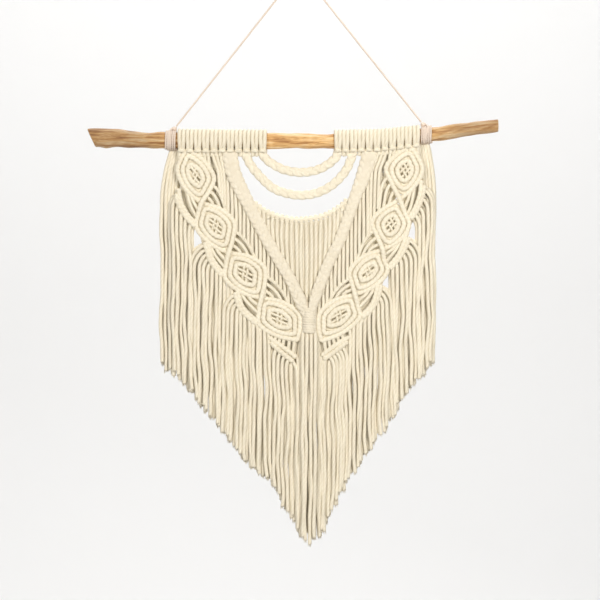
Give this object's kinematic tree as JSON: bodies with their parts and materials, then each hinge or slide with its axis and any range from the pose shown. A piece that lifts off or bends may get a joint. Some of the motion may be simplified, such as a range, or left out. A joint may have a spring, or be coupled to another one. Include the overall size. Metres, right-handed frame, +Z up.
{
  "type": "macrame wall hanging on a wooden rod",
  "caption": "Knotted cotton wall hanging on a bare branch: diamond chains either side of a plaited V, draped swags, a centre tassel and a pointed fringe, hung by a thin twine",
  "frame": {"origin": "the point on the hook where the hanging cord rests, at the underside of the cord's bend", "axes": "+Z up, the front faces -Y, +X to the right as seen from the front"},
  "size_m": [0.42, 0.024, 0.5883],
  "materials": {
    "cotton": "matte undyed cotton",
    "twine": "matte smooth twine",
    "wood": "satin oiled branch"
  },
  "bodies": {
    "root": {"rod": "wood", "hanger_cord": "twine", "hanger_tie_left": "twine", "hanger_tie_right": "twine", "heading_left": "cotton", "heading_right": "cotton", "swag_upper": "cotton", "swag_middle": "cotton", "centre_strands": "cotton", "v_band": "cotton", "wing_left": "cotton", "wing_right": "cotton", "centre_wrap": "cotton", "centre_tassel": "cotton", "side_strands_left": "cotton", "side_strands_right": "cotton", "fringe_left_1": "cotton", "fringe_left_2": "cotton", "fringe_left_3": "cotton", "fringe_left_4": "cotton", "fringe_right_1": "cotton", "fringe_right_2": "cotton", "fringe_right_3": "cotton", "fringe_right_4": "cotton"}
  },
  "joints": []
}
